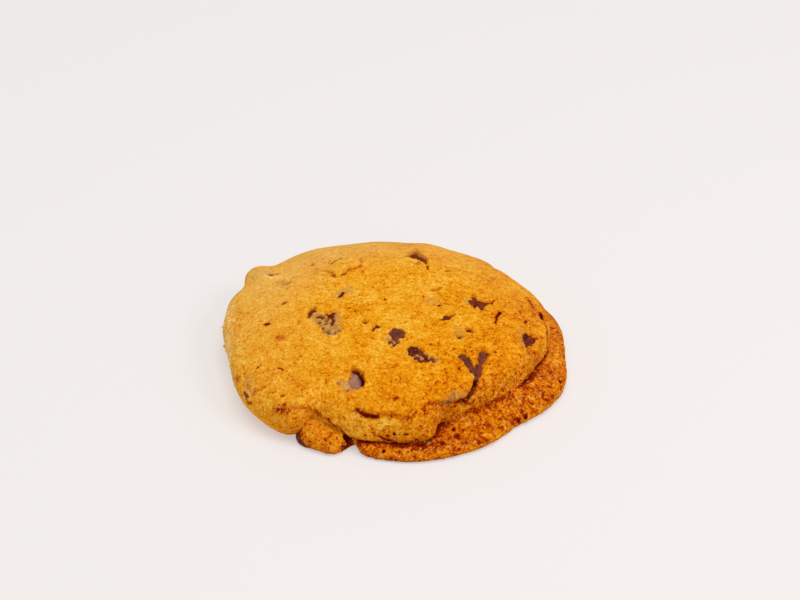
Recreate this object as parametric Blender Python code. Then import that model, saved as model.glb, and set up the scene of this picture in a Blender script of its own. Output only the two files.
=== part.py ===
# A large home-baked chocolate chip cookie: one body of dough and the chips set in it.
# The dough is a polar surface.  At every angle around the middle a section runs from the
# top centre over the crown, down past the brow into the crease, out over the thin apron
# that spread on the tray, and round its edge to the flat underside.
# Sizes are in millimetres and angles in degrees until the meshes are made, in metres.
# +Z is up, the origin is in the middle of the underside and -Y is the side with the folds.

import math

import bmesh
import bpy
import numpy as np
from mathutils import Matrix, Vector
from mathutils.bvhtree import BVHTree

MM = 0.001

# driving sizes
APEX = 16.8                  # height of the top centre
OUTLINE_LONG = 40.4          # half axes of the outline before its lobes
OUTLINE_SHORT = 38.6
CROWN_MEAN = 37.5            # radius that the crown has near its centre
CROWN_FULLNESS = 2.45        # 2 is an ellipse, more is flatter on top and steeper at the side
CROWN_LEVEL = 5.5            # height of that ellipse's centre
CROWN_STEPS = (0, 12, 24, 36, 47, 57, 66, 74, 81, 86, 90)      # degrees down its quarter
LIP_UNDER = 0.7              # how far the apron's foot stands in under its edge
FINE_ANGLES = (-135, -65, 2.5)     # first, last and step of the sections across the folds
COARSE_ANGLES = (-65, 225, 4.0)    # and around the rest
FOLD_DEPTH = 1.0             # step down from the smooth cap to the rough front
CHIP_GAP = 0.3               # clearance between a chip and its pocket
CHIP_TALL = 0.62             # height of a chip as a share of its base
CHIP_SIDES = 12
CHIP_PROFILE = (             # shares of the radius and the height, from the base to the tip
    (0.80, 0.0), (0.97, 0.06), (1.0, 0.16), (0.93, 0.36), (0.74, 0.60), (0.46, 0.82), (0.20, 0.95),
)

# lobes of the outline: angle, half width, how far out
OUTLINE_LOBES = (
    (-16, 14, 2.0),          # right
    (6, 8, 0.5),
    (-44, 9, -1.5),
    (20, 14, 2.4),
    (-106, 3.6, -3.8),       # notch beside the tongue
    (-100, 10, -1.6),
    (-144, 18, 1.6),
    (168, 20, 2.0),          # left
    (147, 4, 2.6),           # corner at the back left
    (159, 7, 1.3),
    (-172, 9, -0.9),         # torn side
    (130, 20, 3.0),
    (70, 16, -0.6),
    (98, 14, 1.6),           # back
)

# swellings and hollows of the crown: x, y, half width, height
SWELLS = (
    (-35, 24, 4.6, 2.1),     # lump at the back left corner
    (-20, 31, 8, 0.8),
    (30, 25, 5, 0.8),
    (-13, 18, 5, 0.8),       # lump over a buried chip
    (-7, -1, 4, 0.5),
    (8, 31, 5, 1.1),         # small lumps on the back rim
    (28, 24, 4, 0.9),
    (-24, -9, 5, -0.4),
    (24, -4, 7, 0.4),
    (4, 10, 12, -0.5),
)

# chips in the crown: place seen from above, width of the flat base, lean of the axis from
# the skin's normal (0 has the base down, 180 the base up), turn of that lean about the
# normal, height left proud of the skin
CROWN_CHIPS = {
    "chip_back_rim": dict(at=(5.8, 23.4), base=7.6, lean=162, toward=90, proud=0.5),
    "chip_back_lump": dict(at=(-12.3, 15.8), base=7.4, lean=170, toward=90, proud=0.4),
    "chip_back_left": dict(at=(-31.2, 19.9), base=6.8, lean=176, toward=90, proud=0.25),
    "chip_left_large": dict(at=(-17.6, -4.4), base=9.4, lean=178, toward=30, proud=0.25),
    "chip_middle_sliver": dict(at=(-4.7, -8.5), base=4.8, lean=95, toward=130, proud=0.3),
    "chip_middle": dict(at=(1.1, -12.4), base=7.2, lean=178, toward=90, proud=0.25),
    "chip_middle_long": dict(at=(6.2, -19.0), base=8.0, lean=178, toward=90, proud=0.25),
    "chip_on_edge": dict(at=(-11.0, -26.6), base=7.2, lean=169, toward=180, proud=0.15),
    "chip_fork": dict(at=(18.9, -20.0), base=9.8, lean=178, toward=90, proud=0.25),
    "chip_fold": dict(at=(16.8, -27.9), base=5.2, lean=95, toward=215, proud=0.5),
    "chip_right_flat": dict(at=(21.1, 1.4), base=7.8, lean=178, toward=90, proud=0.25),
    "chip_right_small": dict(at=(12.7, -4.7), base=6.0, lean=177, toward=90, proud=0.25),
    "chip_right_rim": dict(at=(32.7, -7.3), base=6.6, lean=176, toward=180, proud=0.25),
}

# chips in the side: angle around the cookie and height where each one breaks out
SIDE_CHIPS = {
    "chip_left_side": dict(side=(-146, 6.6), base=7.0, lean=100, toward=-90, proud=0.6),
}

# the chip that lies on the tray, half under the edge: its middle is given outright
TRAY_CHIPS = {
    "chip_under_edge": dict(middle=(-18.9, -30.4), base=8.2, lean=0, toward=0),
}

DOUGH_COLOUR = (0.80, 0.33, 0.035)
CHIP_COLOUR = (0.09, 0.022, 0.012)


def clear_scene():
    for item in list(bpy.data.objects):
        bpy.data.objects.remove(item, do_unlink=True)


def finish(name, colour, roughness):
    material = bpy.data.materials.new(name)
    material.use_nodes = True
    shader = material.node_tree.nodes["Principled BSDF"]
    shader.inputs["Base Color"].default_value = (*colour, 1.0)
    shader.inputs["Roughness"].default_value = roughness
    shader.inputs["Metallic"].default_value = 0.0
    return material


# Helpers that shape things by the angle

def turned(angle):
    return (angle + 180.0) % 360.0 - 180.0


def lobe(angle, at, half):
    return np.exp(-(turned(angle - at) / half) ** 2)


def rise(angle, at, soft):
    return 0.5 + 0.5 * np.tanh((turned(angle) - at) / soft)


def plateau(angle, start, end, soft):
    return rise(angle, start, soft) - rise(angle, end, soft)


def outline_radius(angle):
    turn = np.radians(angle)
    along = OUTLINE_SHORT * np.cos(turn)
    aside = OUTLINE_LONG * np.sin(turn)
    oval = OUTLINE_LONG * OUTLINE_SHORT / np.hypot(along, aside)
    return oval + sum(out * lobe(angle, at, half) for at, half, out in OUTLINE_LOBES)


def crown_radius(angle, soft):
    # the brow stands in from the outline along the front and right, where the apron shows,
    # and soft is how gently the roll at the front ends at its right
    front = 2.9 * (rise(angle, -113.5, 3.2) - rise(angle, -73.2, soft)) - 0.8 * lobe(angle, -92, 8)
    corner = -1.4 * lobe(angle, -70, 5)
    right = 6.2 * lobe(angle, 14, 32)
    tongue_root = 1.5 * lobe(angle, -132, 5)
    return 32.2 + front + corner + right + tongue_root


def crease_strength(angle):
    # 1 where the crown stands on an apron, 0 where it comes down to the tray by itself
    apron = plateau(angle, -108.5, 46, 5)
    tongue = 0.7 * plateau(angle, -125.5, -108.5, 1.5)
    return np.clip(apron + tongue, 0, 1)


# The section: radius and height of its points from the top centre to the foot

def dough_sections(angle):
    strength = crease_strength(angle)
    outline = outline_radius(angle)
    crown = crown_radius(angle, 1.3)
    brow = crown_radius(angle, 5)

    front = lobe(angle, -90, 24)
    tongue = lobe(angle, -122, 9)
    slope = plateau(angle, -66, -27, 5)
    left = lobe(angle, 180, 45)
    front_left = lobe(angle, -142, 20)
    back = lobe(angle, 90, 60)

    # where there is an apron
    brow_height = 7.4 - 3.0 * front + 2.0 * tongue + 0.6 * slope
    crease_height = 4.8 - 2.4 * front + 3.0 * tongue + 1.2 * slope
    apron_height = 3.6 - 1.9 * front + 1.4 * tongue - 0.6 * slope
    lip_height = 2.0 - 1.1 * front + 1.0 * tongue - 0.5 * slope
    tuck = 0.9 - 2.2 * slope - 1.0 * tongue
    apron = outline - crown

    # where there is none
    side_height = 5.2 + 2.0 * left - 0.8 * front_left + 0.5 * back
    side_under = 1.6 + 1.6 * front_left - 0.4 * left + 4.5 * lobe(angle, -126.5, 3.5)

    brow_radius = (1 - strength) * outline + strength * brow
    brow_level = (1 - strength) * side_height + strength * brow_height
    radii = []
    heights = []
    for step in CROWN_STEPS:
        across = math.sin(math.radians(step)) ** (2 / CROWN_FULLNESS)
        up = math.cos(math.radians(step)) ** (2 / CROWN_FULLNESS)
        local = math.sin(math.radians(step)) ** 5
        level = CROWN_LEVEL + local * (brow_level - CROWN_LEVEL)
        radii.append((CROWN_MEAN + local * (brow_radius - CROWN_MEAN)) * across)
        heights.append(level + (APEX - level) * up)

    # each rim point: share of the plain side's undercut, share of its height,
    # and the same point where there is a crease and an apron
    drop = brow_height - crease_height
    rim = (
        (0.10, 0.80, crown - 0.35 * tuck, brow_height - 0.72 * drop),
        (0.22, 0.64, crown - tuck, crease_height),
        (0.34, 0.52, crown + 0.2 * apron + 0.6 * np.clip(-tuck, 0, None),
         0.85 * crease_height + 0.15 * apron_height - 0.35 * slope),
        (0.46, 0.42, crown + 0.6 * apron, 0.35 * crease_height + 0.65 * apron_height),
        (0.58, 0.32, outline - 0.15 * apron - 0.25, 0.9 * apron_height + 0.1 * lip_height),
        (0.72, 0.22, outline, lip_height),
        (0.86, 0.10, outline - 0.35 * LIP_UNDER, 0.35 * lip_height),
        (1.00, 0.00, outline - LIP_UNDER, 0.0 * lip_height),
    )
    for share_in, share_up, creased_radius, creased_height in rim:
        radii.append((1 - strength) * (outline - share_in * side_under) + strength * creased_radius)
        heights.append((1 - strength) * share_up * side_height + strength * creased_height)
    return np.array(radii), np.array(heights)


def fold_drop(x, y):
    # the smooth cap ends on a line across the front; outside it the dough is a step lower
    distance = -y - (30.2 - 0.012 * (x - 2.0) ** 2 + 0.35 * np.sin(0.5 * x))
    across = np.clip((x + 24) / 6, 0, 1) * np.clip((26 - x) / 6, 0, 1)
    step = 0.5 + 0.5 * np.tanh(distance / 0.7)
    fading = np.exp(-np.clip(distance, 0, None) / 4)
    return FOLD_DEPTH * across * step * fading


def dough_points():
    angles = np.concatenate([np.arange(*FINE_ANGLES), np.arange(*COARSE_ANGLES)])
    radius, height = dough_sections(angles)
    x = radius * np.cos(np.radians(angles))
    y = radius * np.sin(np.radians(angles))
    last_crown = len(CROWN_STEPS) - 1
    shaped = height.copy()
    for at_x, at_y, half, up in SWELLS:
        shaped += up * np.exp(-((x - at_x) ** 2 + (y - at_y) ** 2) / half ** 2)
    shaped -= fold_drop(x, y)
    fade = np.ones(len(height))
    fade[last_crown + 1:] = 0
    fade[last_crown] = 0.5
    height = height + fade[:, None] * (shaped - height)
    # the box of the outline is centred on the origin
    x -= 0.5 * (x.max() + x.min())
    y -= 0.5 * (y.max() + y.min())
    return x, y, height


def make_dough():
    x, y, z = dough_points()
    place = np.stack([x, y, z], axis=-1) * MM
    rings, count = x.shape
    mesh = bmesh.new()
    top = mesh.verts.new(place[0, 0])
    rows = [[mesh.verts.new(place[ring, k]) for k in range(count)] for ring in range(1, rings)]
    for k in range(count):
        after = (k + 1) % count
        mesh.faces.new((top, rows[0][k], rows[0][after]))
        for inner, outer in zip(rows, rows[1:]):
            mesh.faces.new((inner[k], outer[k], outer[after], inner[after]))
    mesh.faces.new(reversed(rows[-1]))
    bmesh.ops.triangulate(mesh, faces=mesh.faces[:])
    bmesh.ops.recalc_face_normals(mesh, faces=mesh.faces[:])
    data = bpy.data.meshes.new("biscuit")
    mesh.to_mesh(data)
    mesh.free()
    data.shade_smooth()
    data.materials.append(finish("baked dough", DOUGH_COLOUR, 0.75))
    dough = bpy.data.objects.new("biscuit", data)
    bpy.context.collection.objects.link(dough)
    return dough


# A chip: a drop with a flat base, its tip melted round.  Its axis is local Z and its
# origin is halfway up.  grow moves the whole skin outwards, for the pocket.

def chip_mesh(name, base, grow=0.0):
    radius = base / 2 + grow
    tall = CHIP_TALL * base + 2 * grow
    mesh = bmesh.new()
    bottom = mesh.verts.new((0, 0, -0.5 * tall * MM))
    tip = mesh.verts.new((0, 0, 0.5 * tall * MM))
    rows = []
    for across, up in CHIP_PROFILE:
        row = []
        for k in range(CHIP_SIDES):
            turn = 2 * math.pi * k / CHIP_SIDES
            out = across * radius
            place = Vector((out * math.cos(turn), out * math.sin(turn), (up - 0.5) * tall))
            row.append(mesh.verts.new(place * MM))
        rows.append(row)
    for k in range(CHIP_SIDES):
        after = (k + 1) % CHIP_SIDES
        mesh.faces.new((bottom, rows[0][after], rows[0][k]))
        mesh.faces.new((rows[-1][k], rows[-1][after], tip))
        for lower, upper in zip(rows, rows[1:]):
            mesh.faces.new((lower[k], lower[after], upper[after], upper[k]))
    bmesh.ops.recalc_face_normals(mesh, faces=mesh.faces[:])
    data = bpy.data.meshes.new(name)
    mesh.to_mesh(data)
    mesh.free()
    data.shade_smooth()
    return data


def skin_point(tree, chip):
    # where a line meets the dough: straight down for a crown chip, level for a side chip
    if "at" in chip:
        x, y = chip["at"]
        start = Vector((x, y, 60)) * MM
        way = Vector((0, 0, -1))
    else:
        angle, height = chip["side"]
        outward = Vector((math.cos(math.radians(angle)), math.sin(math.radians(angle)), 0))
        start = (outward * 90 + Vector((0, 0, height))) * MM
        way = -outward
    point, normal, _, _ = tree.ray_cast(start, way)
    return point, normal


def place_chip(tree, chip, data):
    lean = Matrix.Rotation(math.radians(chip["lean"]), 3, "Y")
    turn = Matrix.Rotation(math.radians(chip["toward"]), 3, "Z") @ lean
    if "middle" in chip:
        x, y = chip["middle"]
        lowest = min((turn @ corner.co).z for corner in data.vertices)
        return Vector((x * MM, y * MM, -lowest)), turn.to_euler()
    # the chip sinks along the skin's normal until only its proud height is left outside
    point, normal = skin_point(tree, chip)
    turn = normal.to_track_quat("Z", "Y").to_matrix() @ turn
    reach = max((turn @ corner.co).dot(normal) for corner in data.vertices)
    return point + normal * (chip["proud"] * MM - reach), turn.to_euler()


def add_chips(dough):
    corners = [vertex.co for vertex in dough.data.vertices]
    tree = BVHTree.FromPolygons(corners, [face.vertices for face in dough.data.polygons])
    for name, chip in {**CROWN_CHIPS, **SIDE_CHIPS, **TRAY_CHIPS}.items():
        data = chip_mesh(name, chip["base"])
        place, turn = place_chip(tree, chip, data)
        piece = bpy.data.objects.new(name, data)
        piece.location = place
        piece.rotation_euler = turn
        data.materials.append(finish(name, CHIP_COLOUR, 0.35))
        bpy.context.collection.objects.link(piece)
        cut_pocket(dough, name, chip, place, turn)


def cut_pocket(dough, name, chip, place, turn):
    cutter = bpy.data.objects.new("pocket_" + name, chip_mesh("pocket_" + name, chip["base"], CHIP_GAP))
    cutter.location = place
    cutter.rotation_euler = turn
    cutter.hide_render = True
    cutter.display_type = "WIRE"
    bpy.context.collection.objects.link(cutter)
    cut = dough.modifiers.new("pocket_" + name, "BOOLEAN")
    cut.operation = "DIFFERENCE"
    cut.object = cutter


def main():
    clear_scene()
    dough = make_dough()
    add_chips(dough)


main()
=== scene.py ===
# A home-baked chocolate chip cookie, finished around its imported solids.
# Sizes are in millimetres until a mesh is written, angles are in degrees.
# The cookie lies on the floor, Z is up and -Y is the side with the folds.

import math

import bpy
import numpy as np
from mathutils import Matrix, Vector


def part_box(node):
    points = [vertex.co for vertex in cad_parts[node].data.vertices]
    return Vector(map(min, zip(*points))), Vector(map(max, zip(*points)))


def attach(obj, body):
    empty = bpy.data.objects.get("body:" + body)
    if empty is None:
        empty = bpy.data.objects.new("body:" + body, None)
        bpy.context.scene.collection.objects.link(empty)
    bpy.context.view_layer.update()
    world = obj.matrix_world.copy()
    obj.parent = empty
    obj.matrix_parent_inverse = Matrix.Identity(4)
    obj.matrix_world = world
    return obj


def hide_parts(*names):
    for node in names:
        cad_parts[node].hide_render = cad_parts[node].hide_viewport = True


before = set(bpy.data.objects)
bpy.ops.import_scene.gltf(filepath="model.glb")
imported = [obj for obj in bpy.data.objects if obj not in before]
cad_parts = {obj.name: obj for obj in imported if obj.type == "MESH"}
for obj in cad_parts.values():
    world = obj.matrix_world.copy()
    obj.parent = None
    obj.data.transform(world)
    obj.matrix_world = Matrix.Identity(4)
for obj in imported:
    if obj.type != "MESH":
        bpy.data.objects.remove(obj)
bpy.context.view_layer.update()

mm = 0.001

print("cookie: frame loaded,", len(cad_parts), "nodes")


# small helpers, all on whole arrays

def turned(angle):
    return (angle + 180.0) % 360.0 - 180.0


def lobe(angle, at, half):
    # a bell in the angle, 1 at its middle and 0.37 one half width away
    return np.exp(-(turned(angle - at) / half) ** 2)


def rise(angle, at, soft):
    return 0.5 + 0.5 * np.tanh((turned(angle) - at) / soft)


def plateau(angle, start, end, soft):
    return rise(angle, start, soft) - rise(angle, end, soft)


def ramp(value, low, high):
    # 0 below low, 1 above high, a smooth S between
    t = np.clip((value - low) / (high - low), 0, 1)
    return t * t * (3 - 2 * t)


def lattice(cell, seed):
    # a repeatable number from 0 to 1 for each whole-number cell: its three numbers are
    # multiplied by large odd ones, mixed and folded back
    cell = cell.astype(np.int64).astype(np.uint64)
    mix = cell[..., 0] * np.uint64(73856093) ^ cell[..., 1] * np.uint64(19349663)
    mix = mix ^ cell[..., 2] * np.uint64(83492791) ^ np.uint64(seed * 2654435761 % 4294967296)
    mix = (mix & np.uint64(0xFFFFFFFF)) * np.uint64(2246822519) & np.uint64(0xFFFFFFFF)
    mix = (mix ^ (mix >> np.uint64(15))) * np.uint64(3266489917) & np.uint64(0xFFFFFFFF)
    return (mix ^ (mix >> np.uint64(13))).astype(np.float64) / 4294967296.0


def softNoise(place, size, seed):
    # numbers on a lattice of the given size, blended between its corners: from -1 to 1
    p = place / size + 19.37 * seed
    base = np.floor(p)
    f = p - base
    f = f * f * f * (f * (f * 6 - 15) + 10)
    total = 0
    for corner in np.ndindex(2, 2, 2):
        weight = np.prod(np.where(np.array(corner) == 1, f, 1 - f), axis=-1)
        total = total + weight * lattice(base + np.array(corner), seed)
    return 2 * total - 1


def roughNoise(place, size, seed, octaves=3, fall=0.5):
    # octaves of the soft noise, each half the size and fall times as strong, each turned
    total = 0
    strength = 1.0
    scale = 0
    turn = np.array([[0.36, 0.48, -0.8], [-0.8, 0.60, 0.0], [0.48, 0.64, 0.6]])
    for octave in range(octaves):
        total = total + strength * softNoise(place, size, seed + octave)
        scale += strength
        strength *= fall
        size *= 0.5
        place = place @ turn
    return total / scale


def cells(place, size, seed):
    # distance to the nearest and second nearest of points scattered one to a cell, in cell
    # sizes, and a number that is the nearest point's own
    p = place / size
    base = np.floor(p)
    near = np.full(len(p), 9.0)
    second = near.copy()
    own = np.zeros(len(p))
    for step in np.ndindex(3, 3, 3):
        cell = base + np.array(step) - 1
        point = cell + np.stack([lattice(cell, seed + axis) for axis in range(3)], -1)
        gap = np.linalg.norm(point - p, axis=-1)
        closer = gap < near
        second = np.where(closer, near, np.minimum(second, gap))
        own = np.where(closer, lattice(cell, seed + 7), own)
        near = np.where(closer, gap, near)
    return near, second, own


def alongLine(place, points):
    # for every place: distance to the line through the points, share of the way along it,
    # the nearest point on it and the line's direction there
    points = np.array(points, float)
    lengths = np.linalg.norm(np.diff(points, axis=0), axis=1)
    done = np.concatenate([[0], np.cumsum(lengths)])
    best = np.full(len(place), 1e9)
    share = np.zeros(len(place))
    foot = np.zeros((len(place), 3))
    way = np.zeros((len(place), 3))
    for start, end, length, before in zip(points, points[1:], lengths, done):
        unit = (end - start) / length
        t = np.clip((place - start) @ unit, 0, length)
        nearest = start + t[:, None] * unit
        gap = np.linalg.norm(place - nearest, axis=1)
        closer = gap < best
        best = np.where(closer, gap, best)
        share = np.where(closer, (before + t) / done[-1], share)
        foot[closer] = nearest[closer]
        way[closer] = unit
    return best, share, foot, way


# the dough's form: at every angle a section runs from the top centre over the crown, past
# the brow into the crease, out over the apron that spread on the tray, round its edge

form = {
    "apex": 16.8,                # height of the top centre
    "long": 40.4, "short": 38.6,     # half axes of the outline
    "crownMean": 37.5,           # the crown's radius near its centre
    "fullness": 2.45,            # 2 is an ellipse, more is flatter on top
    "rounding": 0.45,            # how far the section's corners are smoothed
    "outline": [                 # lobes of the outline: angle, half width, out
        (-16, 14, 2.0), (6, 8, 0.5), (-44, 9, -1.5), (20, 14, 2.4), (-106, 3.6, -3.8),
        (-100, 10, -1.6), (-144, 18, 1.6), (168, 20, 2.0), (147, 4, 2.6), (159, 7, 1.3),
        (-172, 9, -0.9), (130, 20, 3.0), (70, 16, -0.6), (98, 14, 1.6)],
    "swells": [                  # swellings and hollows of the crown: x, y, half width, height
        (-35, 24, 4.6, 2.1), (-20, 31, 8, 0.8), (30, 25, 5, 0.8), (-13, 18, 5, 0.8),
        (-7, -1, 4, 0.5), (8, 31, 5, 1.1), (28, 24, 4, 0.9), (-24, -9, 5, -0.4),
        (24, -4, 7, 0.4), (4, 10, 12, -0.5)],
    "rings": 150,                # of the mesh, from the top centre to the foot
    "floorRings": 4,             # of the underside
    "tableAngles": 2048,
    "tableSteps": 600,
}


def outlineRadius(angle):
    # an oval plus its lobes
    t = np.radians(angle)
    oval = form["long"] * form["short"] / np.hypot(form["short"] * np.cos(t), form["long"] * np.sin(t))
    return oval + sum(out * lobe(angle, at, half) for at, half, out in form["outline"])


def crownRadius(angle, soft=1.3):
    # the brow stands in from the outline along the front and the right, and soft is how
    # gently the roll at the front ends at its right
    front = 2.9 * (rise(angle, -113.5, 3.2) - rise(angle, -73.2, soft)) - 0.8 * lobe(angle, -92, 8)
    corner = -1.4 * lobe(angle, -70, 5)
    right = 6.2 * lobe(angle, 14, 32)
    return 32.2 + front + corner + right + 1.5 * lobe(angle, -132, 5)


def sectionTable():
    # radius and height of each section at even steps of its length: a superellipse for the
    # crown, then straight runs between the rim's named points, all rounded by smoothing
    angle = np.linspace(-180, 180, form["tableAngles"], endpoint=False)
    crease = np.clip(plateau(angle, -108.5, 46, 5) + 0.7 * plateau(angle, -125.5, -108.5, 1.5), 0, 1)
    outline = outlineRadius(angle)
    crown = crownRadius(angle)
    apron = outline - crown

    front = lobe(angle, -90, 24)
    tongue = lobe(angle, -122, 9)
    slope = plateau(angle, -66, -27, 5)
    left = lobe(angle, 180, 45)
    frontLeft = lobe(angle, -142, 20)
    back = lobe(angle, 90, 60)

    browHeight = 7.4 - 3.0 * front + 2.0 * tongue + 0.6 * slope
    creaseHeight = 4.8 - 2.4 * front + 3.0 * tongue + 1.2 * slope
    apronHeight = 3.6 - 1.9 * front + 1.4 * tongue - 0.6 * slope
    lipHeight = 2.0 - 1.1 * front + 1.0 * tongue - 0.5 * slope
    tuck = 1.3 - 2.6 * slope - 1.2 * tongue
    outward = np.clip(-tuck, 0, None)
    drop = browHeight - creaseHeight
    sideHeight = 5.2 + 2.0 * left - 0.8 * frontLeft + 0.5 * back
    sideUnder = 1.6 + 1.6 * frontLeft - 0.4 * left + 4.5 * lobe(angle, -126.5, 3.5)

    step = np.radians(np.linspace(0, 90, 60))[:, None]
    across = np.sin(step) ** (2 / form["fullness"])
    up = np.cos(step).clip(0, 1) ** (2 / form["fullness"])
    local = np.sin(step) ** 5
    browRadius = (1 - crease) * outline + crease * crownRadius(angle, 5)
    browLevel = (1 - crease) * sideHeight + crease * browHeight
    level = 5.5 + local * (browLevel - 5.5)
    radius = list((form["crownMean"] + local * (browRadius - form["crownMean"])) * across)
    height = list(level + (form["apex"] - level) * up)

    # each rim point: share of the plain side's undercut and of its height, and the same
    # point where there is a crease and an apron
    rim = [
        (0.05, 0.90, crown - 0.10 * tuck, browHeight - 0.40 * drop),
        (0.12, 0.78, crown - 0.55 * tuck, browHeight - 0.85 * drop),
        (0.20, 0.66, crown - tuck, creaseHeight),
        (0.28, 0.56, crown - 0.35 * tuck + 0.3 * outward, creaseHeight - 0.15),
        (0.38, 0.48, crown + 0.30 * apron + 0.6 * outward,
         0.80 * creaseHeight + 0.20 * apronHeight - 0.35 * slope),
        (0.46, 0.42, crown + 0.60 * apron, 0.40 * creaseHeight + 0.60 * apronHeight),
        (0.58, 0.32, outline - 0.15 * apron - 0.25, 0.9 * apronHeight + 0.1 * lipHeight),
        (0.66, 0.26, outline - 0.15, 0.45 * apronHeight + 0.55 * lipHeight),
        (0.72, 0.22, outline, lipHeight),
        (0.86, 0.10, outline - 0.25, 0.35 * lipHeight),
        (1.00, 0.00, outline - 0.7, 0.0 * lipHeight),
    ]
    for shareIn, shareUp, creasedRadius, creasedHeight in rim:
        radius.append((1 - crease) * (outline - shareIn * sideUnder) + crease * creasedRadius)
        height.append((1 - crease) * shareUp * sideHeight + crease * creasedHeight)
    radius = np.array(radius)
    height = np.array(height)

    run = np.hypot(np.diff(radius, axis=0), np.diff(height, axis=0))
    run = np.vstack([np.zeros(len(angle)), np.cumsum(run, axis=0)])
    even = np.linspace(0, 1, form["tableSteps"])
    table = np.empty((2, len(even), len(angle)))
    for k in range(len(angle)):
        table[0, :, k] = np.interp(even * run[-1, k], run[:, k], radius[:, k])
        table[1, :, k] = np.interp(even * run[-1, k], run[:, k], height[:, k])

    # smoothing along the section, which leaves its two ends in place
    spread = form["rounding"] / (run[-1].mean() / form["tableSteps"])
    reach = int(3 * spread)
    weight = np.exp(-(np.arange(-reach, reach + 1) / spread) ** 2 / 2)
    weight /= weight.sum()
    ends = [(0, 0), (reach, reach), (0, 0)]
    mirrored = np.pad(table, ends, mode="reflect", reflect_type="odd")
    table = sum(w * mirrored[:, j:j + len(even)] for j, w in enumerate(weight))
    return table


def discGrid(rings):
    # a square grid wound onto a disc: the ring is the larger of its two steps from the
    # middle, and the angle runs evenly along each side of the square
    count = 2 * rings + 1
    i, j = np.meshgrid(np.arange(count) - rings, np.arange(count) - rings, indexing="ij")
    ring = np.maximum(abs(i), abs(j))
    wide = abs(i) >= abs(j)
    safe = np.maximum(ring, 1)
    sideways = 45.0 * j / np.where(i == 0, 1, i)
    endways = 90.0 - 45.0 * i / np.where(j == 0, 1, j)
    angle = np.where(wide, sideways + np.where(i < 0, 180, 0), endways + np.where(j < 0, 180, 0))
    angle = np.where(ring == 0, 0, angle)
    corner = np.arange(count * count).reshape(count, count)
    quads = np.stack([corner[:-1, :-1], corner[1:, :-1], corner[1:, 1:], corner[:-1, 1:]], -1).reshape(-1, 4)
    rimLoop = np.concatenate([corner[-1, :-1], corner[:0:-1, -1], corner[0, :0:-1], corner[:-1, 0]])
    return ring, turned(angle), quads, rimLoop


def gridNormals(place):
    # the cross product of the grid's two differences
    normal = np.cross(np.gradient(place, axis=0), np.gradient(place, axis=1))
    return normal / np.maximum(np.linalg.norm(normal, axis=-1, keepdims=True), 1e-9)


def bareDough():
    # the smooth form on the disc grid, before any relief
    table = sectionTable()
    ring, angle, quads, rimLoop = discGrid(form["rings"])
    row = np.linspace(0, form["tableSteps"] - 1, form["rings"] + 1)[ring]
    column = (angle + 180) / 360 * form["tableAngles"]
    r0 = np.clip(row.astype(int), 0, form["tableSteps"] - 2)
    c0 = np.floor(column).astype(int)
    fr = row - r0
    fc = column - c0
    c1 = (c0 + 1) % form["tableAngles"]
    c0 = c0 % form["tableAngles"]
    upper = table[:, r0, c0] * (1 - fc) + table[:, r0, c1] * fc
    lower = table[:, r0 + 1, c0] * (1 - fc) + table[:, r0 + 1, c1] * fc
    radius, height = upper * (1 - fr) + lower * fr
    turn = np.radians(angle)
    x = radius * np.cos(turn)
    y = radius * np.sin(turn)
    inside = ramp(gridNormals(np.stack([x, y, height], -1))[..., 2], 0.1, 0.5)
    inside *= 1 - ramp(radius - crownRadius(angle), -1.5, 0.5) * plateau(angle, -125, 46, 5)
    for atX, atY, half, up in form["swells"]:
        height = height + inside * up * np.exp(-((x - atX) ** 2 + (y - atY) ** 2) / half ** 2)
    # the outline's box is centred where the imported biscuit's is
    low, high = (np.array(corner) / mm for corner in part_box("biscuit"))
    x = x - 0.5 * (x.max() + x.min()) + 0.5 * (low[0] + high[0])
    y = y - 0.5 * (y.max() + y.min()) + 0.5 * (low[1] + high[1])
    return np.stack([x, y, np.maximum(height, 0)], -1), angle, quads, rimLoop


def writeMesh(name, place, faces, material, values=None):
    # place in millimetres; values are named numbers at the points, for the material
    data = bpy.data.meshes.new(name)
    data.from_pydata((place * mm).tolist(), [], faces)
    data.update()
    data.shade_smooth()
    for key, numbers in (values or {}).items():
        layer = data.attributes.new(key, "FLOAT", "POINT")
        layer.data.foreach_set("value", np.asarray(numbers, np.float32))
    data.materials.append(material)
    piece = bpy.data.objects.new(name, data)
    bpy.context.collection.objects.link(piece)
    return piece


def closeUnderside(place, quads, rimLoop):
    # rings from the foot inwards at shrinking shares of its radius, and one middle point
    shares = np.linspace(1, 0, form["floorRings"] + 1)[1:-1]
    rim = place[rimLoop]
    rows = [rimLoop]
    points = [place]
    total = len(place)
    for share in shares:
        row = rim * share
        row[:, 2] = 0
        points.append(row)
        rows.append(total + np.arange(len(rim)))
        total += len(rim)
    points.append(np.array([[0.0, 0.0, 0.0]]))
    faces = [quads]
    for outer, inner in zip(rows, rows[1:]):
        faces.append(np.stack([outer, inner, np.roll(inner, -1), np.roll(outer, -1)], -1))
    last = rows[-1]
    fan = np.stack([last, np.full(len(last), total), np.roll(last, -1)], -1)
    return np.vstack(points), np.vstack(faces).tolist() + fan.tolist()


bare, skinAngle, skinQuads, skinRim = bareDough()
skinNormal = gridNormals(bare).reshape(-1, 3)
skin = bare.reshape(-1, 3)
skinAngle = skinAngle.reshape(-1)
print("cookie: bare form,", len(skin), "points")


# the chips: drops with a flat base and a melted tip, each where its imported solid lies

chip = {
    "profile": [(0.0, 0.03), (0.55, 0.045), (0.80, 0.0), (0.94, 0.025), (1.0, 0.15), (0.95, 0.34),
                (0.78, 0.58), (0.52, 0.79), (0.24, 0.93), (0.0, 1.0)],    # across, up
    "around": 72, "along": 44,
    "lumps": 0.16,               # mm, broad unevenness
    "grain": 0.05,               # mm
}


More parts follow.
